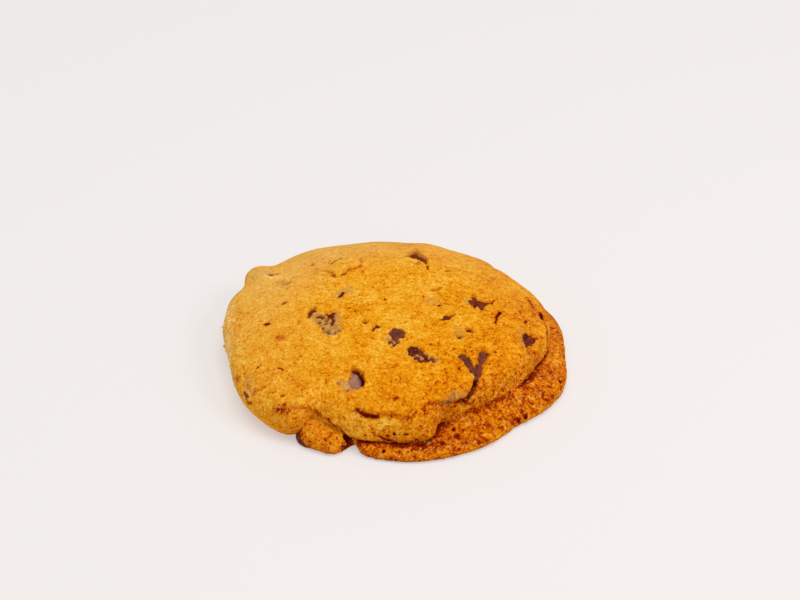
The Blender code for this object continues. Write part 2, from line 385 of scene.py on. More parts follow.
def smoothProfile(profile, count):
    # a centripetal-like walk: the corners' own lengths set the pace, and a few passes of
    # neighbour averages round them off, the ends kept
    profile = np.array(profile, float)
    run = np.concatenate([[0], np.cumsum(np.hypot(*np.diff(profile, axis=0).T))])
    even = np.linspace(0, run[-1], count)
    line = np.stack([np.interp(even, run, profile[:, k]) for k in range(2)], -1)
    for _ in range(6):
        line[1:-1] = 0.25 * line[:-2] + 0.5 * line[1:-1] + 0.25 * line[2:]
    return line


def readChip(node):
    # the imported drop's middle, axis towards its tip, width of its base and length: the axis
    # is the direction in which its points spread unlike the other two
    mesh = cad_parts[node].data
    points = np.empty(len(mesh.vertices) * 3)
    mesh.vertices.foreach_get("co", points)
    points = np.unique(np.round(points.reshape(-1, 3) / mm, 4), axis=0)
    middle = points.mean(0)
    spread, ways = np.linalg.eigh(np.cov((points - middle).T))
    odd = 0 if spread[1] - spread[0] > spread[2] - spread[1] else 2
    axis = ways[:, odd]
    up = (points - middle) @ axis
    across = np.linalg.norm(points - middle - up[:, None] * axis, axis=1)
    if across[up > up.max() - 0.2].max() > across[up < up.min() + 0.2].max():
        axis, up = -axis, -up
    base = 2 * across.max()
    low = up.min()
    return {"middle": middle + low * axis, "axis": axis, "base": base, "tall": up.max() - low}


def chipGrid(facts, seed, around, along):
    # profile turned about the axis: across * radius to the side, up * length along it, plus
    # noise along the outward direction, none at the two poles
    line = smoothProfile(chip["profile"], along)
    axis = facts["axis"]
    side = np.cross(axis, [0.31, 0.87, 0.38])
    side /= np.linalg.norm(side)
    other = np.cross(axis, side)
    t = np.linspace(0, 2 * math.pi, around, endpoint=False)
    ring = np.cos(t)[None, :, None] * side + np.sin(t)[None, :, None] * other
    out = line[:, 0][:, None, None] * facts["base"] / 2
    place = facts["middle"] + out * ring + line[:, 1][:, None, None] * facts["tall"] * axis
    flat = place.reshape(-1, 3)
    bump = chip["lumps"] * roughNoise(flat, 2.6, seed, 2) + chip["grain"] * roughNoise(flat, 0.7, seed + 3, 2)
    fromMiddle = flat - (facts["middle"] + 0.45 * facts["tall"] * axis)
    fromMiddle /= np.linalg.norm(fromMiddle, axis=1, keepdims=True)
    fade = np.repeat(np.clip(line[:, 0] * 6, 0, 1), around)
    return (flat + (bump * fade)[:, None] * fromMiddle).reshape(along, around, 3), line


def tubeFaces(rows, count):
    # quads between rings of equal count, and a fan at each pole, where a ring is one point
    start = np.arange(rows - 1)[:, None] * count + np.arange(count)[None, :]
    after = np.roll(start, -1, axis=1)
    return np.stack([start, after, after + count, start + count], -1).reshape(-1, 4)


def closedGrid(grid):
    # the first and last ring are each one point, so they become single vertices
    rows, count, _ = grid.shape
    points = np.vstack([grid[0, :1], grid[1:-1].reshape(-1, 3), grid[-1, :1]])
    faces = (tubeFaces(rows - 2, count) + 1).tolist()
    first = np.arange(count) + 1
    last = first + (rows - 3) * count
    end = len(points) - 1
    faces += np.stack([np.zeros(count, int), np.roll(first, -1), first], -1).tolist()
    faces += np.stack([np.full(count, end), last, np.roll(last, -1)], -1).tolist()
    return points, faces


chipNodes = sorted(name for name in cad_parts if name.startswith("chip_"))
chipFacts = {name: readChip(name) for name in chipNodes}
chipGrids = {name: chipGrid(chipFacts[name], 40 + k, chip["around"], chip["along"])[0]
             for k, name in enumerate(chipNodes)}
print("cookie:", len(chipNodes), "chips read")


# small specks of chocolate that have no node: place seen from above, width

specks = {
    "places": [(-7.0, -7.4, 2.2), (18.1, -9.2, 2.2), (10.1, 6.4, 2.2), (15.7, -11.6, 1.8), (10.3, 0.2, 2.0),
               (-13.0, 3.6, 1.8), (-26.2, 13.0, 2.6), (-20.6, 20.8, 1.8), (28.4, -26.0, 2.4), (-31.9, -18.3, 1.2),
               (13.5, 15.4, 1.2), (0.9, 8.8, 1.0), (31.8, -2.5, 1.4), (-11.3, -9.5, 1.0)],
    "sunk": 0.30,                # mm from the skin down to the speck's top
    "around": 20, "along": 12,
}


def onSkin(x, y):
    # the bare skin's point and normal nearest to x, y seen from above
    upper = np.where(skinNormal[:, 2] > 0.05)[0]
    k = upper[np.argmin((skin[upper, 0] - x) ** 2 + (skin[upper, 1] - y) ** 2)]
    return skin[k], skinNormal[k]


def speckGrid(x, y, width, seed):
    # a ball squashed to two thirds, its radius uneven by a third
    point, normal = onSkin(x, y)
    v = np.linspace(0, math.pi, specks["along"])[:, None, None]
    u = np.linspace(0, 2 * math.pi, specks["around"], endpoint=False)[None, :, None]
    way = np.concatenate([np.sin(v) * np.cos(u), np.sin(v) * np.sin(u), np.cos(v) * np.ones_like(u)], -1)
    radius = width / 2 * (1 + 0.33 * roughNoise(way.reshape(-1, 3), 0.9, seed, 2).reshape(way.shape[:2]))[..., None]
    ball = way * radius * np.array([1, 1, 0.67])
    return ball + point - normal * (specks["sunk"] + 0.33 * width)


speckGrids = [speckGrid(x, y, width, 70 + k) for k, (x, y, width) in enumerate(specks["places"])]


# what breaks the dough's skin.  A window opens it down to a chip, inside an outline of x, y
# seen from above.  Nicks and films follow a path of x, y seen from above, or x, y, z on the
# side, with a half width in mm at each of its points: a nick is a small window, and a film is
# thin grey dough over a chip, with small holes

windows = {
    "backRim": [(2.3, 22.8), (3.6, 24.6), (4.3, 26.7), (5.4, 27.0), (6.8, 24.6), (8.7, 19.8), (7.2, 20.1), (4.7, 21.7)],
    "backLump": [(-13.1, 12.7), (-12.0, 13.0), (-11.2, 14.4), (-11.3, 15.8), (-12.2, 14.7)],
    "leftBlob": [(-20.7, -4.8), (-20.9, -1.4), (-20.2, 0.3), (-19.1, 0.0), (-18.6, -1.8), (-19.8, -2.6)],
    "leftBand": [(-17.4, -2.6), (-14.8, -3.2), (-14.2, -5.2), (-14.6, -6.6), (-15.4, -5.4),
                 (-16.6, -3.9)],
    "middle": [(-1.1, -11.3), (-0.4, -10.5), (-0.1, -9.6), (1.5, -10.1), (2.8, -11.3), (2.4, -12.4),
               (3.0, -13.3), (1.7, -13.5), (0.7, -14.6), (-0.4, -13.9)],
    "middleLong": [(3.2, -17.3), (3.8, -16.4), (6.4, -17.4), (8.0, -19.5), (6.6, -19.7),
                   (5.2, -18.8), (4.2, -20.0)],
    "onEdge": [(-9.6, -22.6), (-7.8, -23.8), (-6.7, -26.0), (-6.8, -27.9), (-8.2, -28.9),
               (-9.7, -28.4), (-10.7, -26.9), (-10.2, -24.8)],
    "fork": [(15.1, -18.9), (16.3, -18.1), (17.8, -18.8), (19.0, -21.2), (19.5, -19.6),
             (20.1, -17.1), (21.2, -15.9), (22.3, -16.5), (20.8, -20.4), (20.3, -22.8),
             (19.4, -24.9), (18.2, -23.7), (16.1, -19.9)],
    "rightFlat": [(18.4, 2.7), (21.0, 3.3), (23.7, 2.6), (22.3, 1.3), (21.1, -1.3), (20.2, 0.7),
                  (19.4, -0.6), (18.7, 0.6)],
    "rightSmall": [(11.3, -5.9), (11.8, -4.2), (14.6, -3.5), (13.5, -5.1), (12.9, -6.6),
                   (12.4, -5.7), (11.7, -6.7)],
    "rightRim": [(30.5, -7.4), (31.5, -6.2), (33.3, -6.2), (34.3, -6.7), (33.2, -8.2),
                 (31.7, -10.4), (31.0, -9.6)],
}
nicks = [
    ([(7.7, 21.3), (8.1, 19.3)], [0.3, 0.2]),
    ([(5.9, 19.6)], [0.35]),
    ([(9.5, 6.5), (10.6, 7.2)], [0.45, 0.35]),
    ([(-31.0, 18.3), (-29.8, 18.4)], [0.55, 0.5]),
    ([(-26.8, 13.2)], [0.5]),
    ([(-20.7, 20.6)], [0.45]),
    ([(-6.9, -7.4)], [0.55]),
    ([(-4.9, -10.1), (-4.4, -9.2), (-3.0, -8.7)], [0.2, 0.5, 0.25]),
    ([(-0.9, -14.8)], [0.25]),
    ([(-0.1, -16.2)], [0.3]),
    ([(0.8, -15.1)], [0.25]),
    ([(5.3, -19.9)], [0.4]),
    ([(6.5, -20.9), (7.6, -20.4)], [0.3, 0.45]),
    ([(8.7, -20.2)], [0.2]),
    ([(9.4, -20.8)], [0.25]),
    ([(19.3, -25.2), (18.9, -26.2), (17.9, -27.4), (16.4, -28.6), (14.9, -29.4)],
     [0.2, 0.4, 0.65, 0.45, 0.2]),
    ([(19.6, 4.7), (19.9, 3.3)], [0.2, 0.4]),
    ([(18.1, -9.1), (18.7, -10.1)], [0.45, 0.4]),
    ([(15.5, -12.0)], [0.35]),
    ([(31.8, -10.8)], [0.3]),
    ([(34.1, -8.4)], [0.25]),
    ([(-12.6, -32.9, 6.0), (-11.9, -33.5, 5.2), (-11.3, -33.8, 4.0), (-10.7, -34.1, 2.8),
      (-9.8, -33.7, 1.4)], [0.3, 0.45, 0.5, 0.55, 0.5]),
    ([(-11.6, -35.1, 1.3), (-10.4, -34.0, 1.0), (-8.4, -33.8, 1.8)], [0.3, 0.45, 0.3]),
]
films = [                        # path, half widths, strength
    ([(-19.4, -3.0), (-17.6, -5.0), (-15.0, -9.6)], [1.0, 1.8, 2.0], 1.0),
    ([(-13.9, -4.2), (-14.0, -8.0)], [0.9, 0.9], 0.7),
    ([(-34.2, 20.4), (-32.4, 18.9), (-31.2, 18.6)], [0.5, 0.7, 0.9], 0.55),
    ([(-28.2, 14.2), (-27.2, 12.7)], [0.7, 1.0], 0.7),
    ([(-1.0, -13.6), (0.6, -15.8)], [0.8, 0.7], 0.9),
    ([(4.6, -19.2), (9.8, -20.9)], [1.1, 0.6], 1.0),
    ([(-12.4, -26.9), (-10.2, -27.9)], [0.6, 1.3], 0.95),
    ([(11.8, -29.9), (14.8, -28.6)], [0.5, 0.6], 0.8),
    ([(15.4, -9.4), (15.6, -11.4)], [0.8, 1.1], 0.55),
    ([(9.6, 1.2)], [1.9], 0.30),
    ([(-13.6, 3.4), (-11.2, 6.2)], [1.0, 1.3], 0.45),
    ([(30.2, -6.0), (31.0, -10.6)], [0.7, 0.7], 0.5),
    ([(34.6, -7.2), (33.0, -10.2)], [0.7, 0.6], 0.5),
    ([(18.0, 1.8)], [0.9], 0.5),
    ([(-33.4, -20.6, 9.6), (-33.8, -22.6, 8.4), (-32.6, -24.2, 8.6)], [0.7, 0.9, 0.7], 0.45),
]
opening = {
    "depth": 1.5,                # mm, how far a window goes below the bare skin
    "edgeNoise": 0.45, "edgeNoiseSize": 1.5,
    "edgeFine": 0.40, "edgeFineSize": 0.55,
    "cover": 0.30,               # mm of dough over a chip
    "drapeFall": 0.22,           # how fast that cover falls away beside the chip, per mm
    "holes": 0.30,               # share of noise that is a hole in a film
}

# small cracks and pits: path, half width, depth, how dark the painted shade in them is

marks = [
    ([(-8.7, 21.3), (-8.0, 19.4), (-8.2, 17.4), (-9.4, 15.5), (-11.0, 14.7)], 0.47, 0.54, 0.52),
    ([(-17.5, 15.7), (-15.7, 14.5), (-14.4, 12.5)], 0.47, 0.48, 0.65),
    ([(-15.6, 19.2), (-14.5, 20.4), (-13.4, 21.5)], 0.41, 0.54, 0.91),
    ([(-16.7, 22.4), (-15.9, 19.5)], 0.34, 0.36, 0.39),
    ([(-20.2, 18.8), (-18.8, 15.0)], 0.30, 0.36, 0.45),
    ([(8.3, 17.6), (8.6, 16.2)], 0.38, 0.36, 0.85),
    ([(10.3, 14.9)], 0.41, 0.24, 0.59),
    ([(7.9, 11.8)], 0.34, 0.18, 0.45),
    ([(13.2, 16.1), (14.0, 16.1)], 0.43, 0.30, 0.78),
    ([(10.9, 5.8), (11.6, 3.8), (12.4, 2.0)], 0.30, 0.30, 0.52),
    ([(9.6, 0.1)], 0.41, 0.24, 0.72),
    ([(10.5, -0.5)], 0.47, 0.36, 1.00),
    ([(16.3, -0.4)], 0.38, 0.24, 0.65),
    ([(-2.4, 1.9)], 0.43, 0.30, 0.78),
    ([(-2.2, 1.4), (-1.9, 0.2)], 0.22, 0.18, 0.39),
    ([(-7.4, 8.5)], 0.34, 0.18, 0.45),
    ([(-10.7, -1.8)], 0.43, 0.30, 0.78),
    ([(-12.2, 5.0), (-13.3, 3.2)], 0.46, 0.48, 1.00),
    ([(-11.3, 5.3)], 0.34, 0.24, 0.65),
    ([(-8.4, -1.8), (-6.2, -3.0)], 0.34, 0.24, 0.20),
    ([(24.4, 4.0), (23.9, 1.8)], 0.34, 0.30, 0.78),
    ([(30.4, 1.5), (30.7, 0.4)], 0.34, 0.24, 0.65),
    ([(32.0, -1.8), (31.6, -3.1)], 0.38, 0.24, 0.85),
    ([(28.0, -2.6)], 0.38, 0.24, 0.59),
    ([(30.3, -2.6)], 0.27, 0.18, 0.52),
    ([(25.6, -1.4), (24.6, -4.4), (24.1, -5.7)], 0.43, 0.72, 0.98),
    ([(13.8, -16.7)], 0.43, 0.24, 0.78),
    ([(12.1, -18.7)], 0.47, 0.24, 0.52),
    ([(23.8, -15.6)], 0.47, 0.30, 0.72),
    ([(14.9, -22.9)], 0.47, 0.42, 1.00),
    ([(0.3, -31.6), (1.3, -31.1)], 0.41, 0.30, 0.72),
    ([(19.4, -24.7), (19.0, -26.0)], 0.47, 1.08, 1.00),
    ([(-30.9, -4.0), (-30.1, -4.3)], 0.41, 0.30, 0.98),
    ([(-26.6, 3.0), (-25.9, 3.4)], 0.41, 0.24, 0.65),
    ([(-25.8, -6.5)], 0.41, 0.24, 0.52),
    ([(-35.7, 2.5)], 0.41, 0.24, 0.45),
    ([(-31.9, -18.2)], 0.46, 0.30, 1.00),
    ([(-26.9, -19.7), (-25.7, -20.8)], 0.35, 0.36, 0.91),
    ([(-26.1, -27.9), (-25.5, -27.7)], 0.41, 0.30, 0.72),
    ([(-27.7, -29.2, 8.4), (-27.0, -29.9, 8.1)], 0.40, 0.30, 0.55),
    ([(-25.1, -29.8, 9.5)], 0.47, 0.30, 0.72),
    ([(-37.5, -11.7, 9.8), (-36.9, -12.5, 10.1)], 0.45, 0.30, 0.35),
    ([(-36.2, -15.5, 9.9), (-35.4, -17.0, 10.0), (-34.8, -18.4, 9.9), (-34.8, -19.5, 9.5)], 0.42, 0.50, 0.40),
    ([(-34.2, -21.6, 9.0), (-33.8, -22.8, 8.6)], 0.40, 0.45, 0.50),
    ([(-32.7, -24.3, 8.5), (-31.7, -24.4, 9.3), (-29.9, -24.4, 10.3)], 0.50, 0.50, 0.55),
    ([(-38.2, -15.0, 7.2), (-37.4, -17.1, 7.7), (-36.7, -18.6, 8.0)], 0.70, 0.15, 0.55),
    ([(-34.3, -23.7, 7.0), (-33.9, -24.4, 6.4), (-33.1, -25.3, 6.7)], 0.45, 0.20, 0.75),
    ([(0.1, -35.3, 5.9)], 0.50, 0.48, 1.00),
    ([(-1.4, -35.2, 5.5)], 0.54, 0.36, 0.85),
    ([(2.9, -35.5, 5.9)], 0.47, 0.36, 0.91),
    ([(-2.5, -37.3, 1.9)], 0.47, 0.36, 1.00),
    ([(2.0, -36.5, 2.3)], 0.47, 0.36, 0.91),
    ([(7.0, -37.5, 2.3)], 0.50, 0.48, 1.00),
    ([(11.4, -35.5, 2.7)], 0.54, 0.36, 0.91),
    ([(14.1, -32.0, 3.9)], 0.50, 0.48, 1.00),
    ([(14.7, -33.8, 3.3)], 0.54, 0.36, 0.78),
    ([(29.0, -25.9, 2.0)], 0.55, 0.60, 1.00),
    ([(30.7, -24.6, 2.2)], 0.54, 0.36, 1.00),
    ([(30.0, -23.6, 3.3)], 0.47, 0.36, 0.91),
    ([(32.8, -21.3, 3.2)], 0.41, 0.24, 0.78),
    ([(39.6, -12.9, 3.2)], 0.47, 0.36, 1.00),
    ([(37.5, -10.6, 4.3)], 0.47, 0.36, 0.78),
    ([(40.1, 5.8, 4.1)], 0.54, 0.36, 0.78),
    ([(39.0, 6.9, 4.5)], 0.41, 0.24, 0.65),
    ([(35.8, 3.6, 11.1), (35.8, 1.7, 11.1)], 0.54, 0.36, 1.00),
]

# folds: points of the line, with the higher side to its left as seen from above, height of
# the lip there and its reach, depth of the groove and its width, how dark its painted shade is
folds = [
    {"line": [(-9.8, -33.6, 2.5), (-6.2, -35.0, 2.7), (-0.9, -35.4, 2.4), (3.8, -36.0, 2.4), (6.9, -36.2, 2.7),
              (8.8, -34.8, 3.0), (9.8, -32.6, 3.2), (10.2, -30.8, 3.5), (11.4, -29.7, 4.1), (14.7, -29.8, 5.5)],
     "lip": 0.3, "reach": 1.6, "groove": 0.9, "width": 0.80, "dark": 1.0},
    {"line": [(28.4, -19.6, 5.8), (30.7, -16.0, 5.1), (33.3, -12.7, 4.7), (35.0, -8.9, 4.6), (36.8, -5.5, 4.6),
              (37.6, -2.3, 4.6)],
     "lip": 0.7, "reach": 2.4, "groove": 0.9, "width": 0.55, "dark": 1.0},
    {"line": [(37.2, -4.4, 5.6), (37.2, -3.4, 7.6), (36.9, -2.4, 9.2), (36.6, 0.3, 10.2), (35.6, 2.4, 11.3),
              (34.0, 4.8, 12.0), (32.9, 8.0, 12.2), (32.2, 11.0, 12.4)],
     "lip": 0.5, "reach": 1.8, "groove": 0.6, "width": 0.50, "dark": 0.75},
    {"line": [(5.0, -32.9, 11.4), (8.0, -32.1, 11.5), (10.5, -30.7, 10.6), (13.0, -29.9, 10.2), (14.6, -29.4, 10.4),
              (16.0, -28.7, 10.8), (17.1, -28.0, 11.2), (18.2, -27.0, 11.6), (18.9, -26.0, 12.2), (19.4, -24.8, 12.7)],
     "lip": 0.9, "reach": 3.0, "groove": 0.7, "width": 0.50, "dark": 0.40},
    {"line": [(-8.9, -32.8, 11.1), (-7.4, -33.6, 10.6), (-5.7, -34.2, 10.1), (-4.2, -34.4, 9.7), (-2.6, -34.2, 10.0)],
     "lip": 0.7, "reach": 1.8, "groove": 0.9, "width": 0.55, "dark": 1.0},
    {"line": [(-3.6, -34.3, 9.9), (-1.8, -34.0, 10.3), (-0.1, -34.2, 10.1), (1.4, -34.5, 9.7), (3.1, -34.7, 9.5),
              (4.8, -34.6, 9.6)],
     "lip": 0.6, "reach": 1.8, "groove": 0.7, "width": 0.50, "dark": 0.6},
    {"line": [(-28.8, -29.2, 7.3), (-26.3, -30.0, 8.6), (-24.0, -31.0, 9.0), (-21.7, -30.7, 9.5), (-19.6, -30.0, 8.8),
              (-17.3, -30.5, 8.2), (-15.2, -31.6, 7.3), (-13.1, -32.8, 5.9), (-12.1, -33.3, 5.2)],
     "lip": 0.9, "reach": 2.2, "groove": 0.8, "width": 0.45, "dark": 0.75},
    {"line": [(-5.4, -35.3, 6.6), (-4.1, -35.3, 5.5), (-1.4, -35.2, 4.1), (0.1, -35.1, 3.6), (2.4, -35.3, 2.3)],
     "lip": 0.4, "reach": 1.2, "groove": 0.6, "width": 0.45, "dark": 0.85},
    {"line": [(12.6, -30.0, 5.2), (16.3, -28.8, 7.0), (18.8, -27.8, 7.2), (22.9, -24.9, 6.5), (26.2, -22.2, 6.2),
              (29.1, -19.1, 5.9)],
     "lip": 0.5, "reach": 2.4, "groove": 0.5, "width": 0.60, "dark": 0.35},
]

# raised pads: outline, height, width of the slope round it
pads = [
    ([(-17.5, 15.8), (-16.5, 18.0), (-15.0, 19.3), (-12.8, 21.4), (-10.6, 22.4), (-9.1, 21.9),
      (-8.3, 19.5), (-8.4, 17.3), (-9.6, 15.4), (-11.4, 14.2), (-12.9, 12.7), (-14.4, 12.8), (-15.7, 14.6)],
     0.5, 0.5),
    ([(-9.6, -1.2), (-6.4, -1.4), (-5.6, -3.2), (-7.6, -4.6), (-9.8, -3.4)], 0.35, 0.9),
    ([(-6.9, -32.6), (-5.4, -32.2), (-5.0, -33.6), (-6.4, -34.0)], 0.8, 0.6),
    ([(15.4, -8.4), (17.6, -8.6), (18.0, -10.6), (15.6, -11.2)], 0.3, 0.8),
]

relief = {
    "broad": 0.32, "broadSize": 9.0,
    "middling": 0.18, "middlingSize": 3.4,
    "grain": 0.15, "grainSize": 1.3,
    "coarse": 0.50, "coarseSize": 1.25,      # bumps of the rough front, and their size
    "clods": 0.45, "clodSize": 3.6,          # and the broader unevenness under them
    "pits": 130, "pitDepth": 0.35,
    "tornDepth": 2.2, "tornSize": 1.5,
    "wobble": 0.35, "wobbleSize": 4.0,       # of the outline
    "bend": 0.55, "bendSize": 2.4,           # of the lines on the skin
}


def insideOutline(outline):
    # how far inside a closed outline, seen from above, every skin point is, in mm: the gap to
    # the nearest edge, below zero unless a line to +X crosses the outline an odd number of times
    corners = np.array(outline, float)
    near = (skin[:, :2] > corners.min(0) - 3).all(1) & (skin[:, :2] < corners.max(0) + 3).all(1)
    near = np.where(near & (skinNormal[:, 2] > 0.2))[0]
    place = skin[near, :2]
    gap = np.full(len(near), 9.0)
    odd = np.zeros(len(near), bool)
    for start, end in zip(corners, np.roll(corners, -1, axis=0)):
        edge = end - start
        share = np.clip((place - start) @ edge / (edge @ edge), 0, 1)
        gap = np.minimum(gap, np.linalg.norm(place - start - share[:, None] * edge, axis=1))
        beside = (start[1] > place[:, 1]) != (end[1] > place[:, 1])
        crossing = start[0] + (place[:, 1] - start[1]) * edge[0] / (edge[1] or 1)
        odd ^= beside & (place[:, 0] < crossing)
    inside = np.full(len(skin), -9.0)
    inside[near] = np.where(odd, gap, -gap)
    return inside


def onPath(path, wide):
    # how far inside a path of changing half width every skin point is, in mm
    line = [np.array(at if len(at) == 3 else onSkin(*at)[0]) for at in path]
    if len(line) == 1:
        line.append(line[0] + np.array([0.01, 0, 0]))
        wide = [wide[0], wide[0]]
    gap, share, _, _ = alongLine(warped, line)
    stops = np.concatenate([[0], np.cumsum(np.linalg.norm(np.diff(line, axis=0), axis=1))])
    return np.interp(share, stops / stops[-1], wide) - gap


def coverChip(grid, limit):
    # height that the dough needs to lie over a chip: the highest of the paraboloids that
    # hang from the chip's points, seen along the skin's normal, plus the cover
    points = grid[::2, ::3].reshape(-1, 3)
    middle = points.mean(0)
    near = np.where((np.linalg.norm(skin - middle, axis=1) < 9) & (skinNormal[:, 2] > 0.1))[0]
    gap = points[None, :, :] - skin[near][:, None, :]
    up = np.einsum("ijk,ik->ij", gap, skinNormal[near])
    aside = np.maximum((gap ** 2).sum(-1) - up ** 2, 0)
    height = np.zeros(len(skin))
    height[near] = (up - opening["drapeFall"] * aside).max(1) + opening["cover"]
    return np.clip(height, 0, limit)


def smoothMost(a, b, soft):
    # the larger of two, rounded where they meet
    return 0.5 * (a + b + np.sqrt((a - b) ** 2 + soft ** 2))


# the skin's places bent a little this way and that, so that no line on it is quite straight
bend = [relief["bend"] * roughNoise(skin, relief["bendSize"], 41 + axis, 2) for axis in range(3)]
warped = skin + np.stack(bend, -1)


def makeRelief():
    radius = np.hypot(skin[:, 0], skin[:, 1])
    angle = skinAngle
    height = skin[:, 2]
    outward = radius - (crownRadius(angle) + 0.4)
    creased = plateau(angle, -130, 46, 4)
    apron = creased * ramp(outward, -0.4, 0.8) * (1 - ramp(height, 6.5, 9))
    coarseFrom = 33.3 + 1.2 * lobe(angle, -95, 25) - 1.8 * lobe(angle, -55, 22)
    rough = plateau(angle, -150, 12, 9) * ramp(radius, coarseFrom - 1.2, coarseFrom + 0.8)
    rough = np.maximum(rough, apron * (0.15 + 0.75 * plateau(angle, -130, -32, 8)))
    rough = np.maximum(rough, 0.35 * ramp(-skinNormal[:, 2], -0.45, 0.1))
    rough *= 1 - 0.45 * lobe(angle, -143, 14)
    torn = np.clip(plateau(angle, 163, 179, 3) + plateau(angle, -180, -157, 3), 0, 1)
    level = height + 1.6 * roughNoise(skin, 3.0, 21, 2) + 2.5 * lobe(angle, -160, 16)
    torn *= ramp(level, 1.5, 3.0) * (1 - ramp(level, 10.2, 11.0))

    broad = relief["broad"] * roughNoise(skin, relief["broadSize"], 1, 2)
    middling = relief["middling"] * roughNoise(skin, relief["middlingSize"], 5, 2)
    grain = relief["grain"] * roughNoise(skin, relief["grainSize"], 9, 2)
    near, _, own = cells(skin, relief["coarseSize"], 13)
    fine, _, _ = cells(skin, 0.5 * relief["coarseSize"], 17)
    bumps = relief["coarse"] * ((0.75 - near) * (0.4 + own) + 0.6 * (0.6 - fine))
    clods = relief["clods"] * roughNoise(skin, relief["clodSize"], 19, 3) * (1 - 0.6 * lobe(angle, -140, 16))
    height = broad + middling + grain + (bumps + clods) * rough
    tornCells, _, tornOwn = cells(skin, relief["tornSize"], 23)
    height += torn * (relief["tornDepth"] * (0.6 * tornOwn - 0.25 - tornCells) + 1.5 * bumps)
    edge = ramp(-skinNormal[:, 2], -0.5, 0.3)
    height += relief["wobble"] * roughNoise(skin * np.array([1, 1, 0.3]), relief["wobbleSize"], 27, 3) * edge
    # painted shade in the hollows between the rough bumps and between the torn crumbs
    dark = 0.35 * rough * ramp(near - 0.2 * own, 0.42, 0.8) + 0.30 * torn * ramp(tornCells, 0.5, 0.85)

    for outline, up, slope in pads:
        height += up * ramp(insideOutline(outline), -0.3 * slope, 0.7 * slope)
    paintedCreaseShade = np.zeros(len(skin))
    patchy = 0.5 + 0.5 * ramp(roughNoise(skin, 2.2, 51, 2), -0.35, 0.2)
    for fold in folds:
        gap, share, foot, way = alongLine(warped, fold["line"])
        side = np.sign(np.einsum("ij,ij->i", np.cross(way, skin - foot), skinNormal))
        ends = ramp(share, 0, 0.12) * (1 - ramp(share, 0.88, 1))
        behind = np.where(side > 0, gap, 0)
        lip = fold["lip"] * np.exp(-(behind / fold["reach"]) ** 2) * ramp(behind, 0, 2 * fold["width"])
        lip = np.where(gap < 2.5 * fold["reach"], lip, 0)
        valley = np.exp(-(gap / fold["width"]) ** 2)
        height += ends * (lip - fold["groove"] * valley)
        # painted shade in the fold's groove, and a wider band of painted shade along it that goes into the bake
        dark = np.maximum(dark, fold["dark"] * ends * patchy * valley)
        paintedCreaseShade = np.maximum(paintedCreaseShade, fold["dark"] * ends * np.exp(-(gap / (1.9 * fold["width"])) ** 2))
    for path, wide, deep, tone in marks:
        valley = ramp(onPath(path, [wide] * len(path)), -0.5 * wide, 0.6 * wide)
        height -= deep * valley
        # painted shade in the crack's hollow
        dark = np.maximum(dark, tone * valley)

    generator = np.random.default_rng(5)
    picked = generator.choice(np.where(skinNormal[:, 2] > 0.25)[0], relief["pits"], replace=False)
    for k, size in zip(picked, generator.uniform(0.22, 0.5, relief["pits"])):
        pit = np.exp(-((skin - skin[k]) ** 2).sum(1) / size ** 2)
        height -= relief["pitDepth"] * pit
        # painted shade in the pit's hollow
        dark = np.maximum(dark, 0.55 * pit)

    for name in chipNodes:
        limit = {"chip_under_edge": 0, "chip_left_side": 0.3, "chip_on_edge": 0.7}.get(name, 1.2)
        height = smoothMost(height, coverChip(chipGrids[name], limit) - 0.1, 0.2)
    noise = opening["edgeNoise"] * roughNoise(skin, opening["edgeNoiseSize"], 31, 2)
    noise += opening["edgeFine"] * roughNoise(skin, opening["edgeFineSize"], 33, 2)
    opened = np.full(len(skin), -9.0)
    for outline in windows.values():
        opened = np.maximum(opened, insideOutline(outline) + noise)
    for path, wide in nicks:
        opened = np.maximum(opened, onPath(path, wide) + noise + 0.2)
    film = np.zeros(len(skin))
    for path, wide, strength in films:
        film = np.maximum(film, strength * ramp(onPath(path, wide) + 1.5 * noise, -0.8, 0.6))
    holes = roughNoise(skin, 0.75, 37, 2)
    hole = ramp(film, 0.55, 0.8) * ramp(holes, opening["holes"] - 0.12, opening["holes"] + 0.12)
    cut = np.maximum(ramp(opened, -0.15, 0.25), 0.7 * hole)
    height = height * (1 - cut) - opening["depth"] * cut
    # painted shade on the walls and floor of windows and nicks
    dark = np.maximum(dark, 0.8 * ramp(opened, -0.05, 0.35))
    # nothing sinks below the tray, and the foot keeps to it
    keep = ramp(skin[:, 2], 0.0, 0.9)
    # painted shade at the foot, where the side is low and turns under towards the tray
    foot = (1 - ramp(skin[:, 2], 0.3, 1.5)) * ramp(-skinNormal[:, 2], -0.4, 0.1)
    dark = np.maximum.reduce([dark, hole, 0.45 * foot])
    return height * keep, opened, {"rough": rough, "apron": apron, "torn": torn, "film": film, "dark": dark,
                                   "paintedCreaseShade": paintedCreaseShade}


doughHeight, skinOpened, doughValues = makeRelief()
doughPlace = skin + doughHeight[:, None] * skinNormal
doughPlace[:, 2] = np.maximum(doughPlace[:, 2], np.where(skin[:, 2] > 0, 0.02, 0.0))
print("cookie: relief, from", round(doughHeight.min(), 2), "to", round(doughHeight.max(), 2), "mm")


# materials

def paint(red, green, blue):
    # a colour as a screen shows it, 0 to 255, turned into an amount of light
    shown = np.array([red, green, blue]) / 255
    return (*np.where(shown > 0.04045, ((shown + 0.055) / 1.055) ** 2.4, shown / 12.92), 1.0)


def addNode(tree, kind, inputs=None, **settings):
    node = tree.nodes.new(kind)
    for key, value in settings.items():
        setattr(node, key, value)
    for key, value in (inputs or {}).items():
        if isinstance(value, bpy.types.NodeSocket):
            tree.links.new(value, node.inputs[key])
        else:
            node.inputs[key].default_value = value
    return node


def noiseFac(tree, place, size, detail=2.0, roughness=0.5):
    # noise from about 0 to 1 with features of the given size in mm
    inputs = {"Vector": place, "Scale": 1 / (size * mm), "Detail": detail, "Roughness": roughness}
    return addNode(tree, "ShaderNodeTexNoise", inputs).outputs["Fac"]


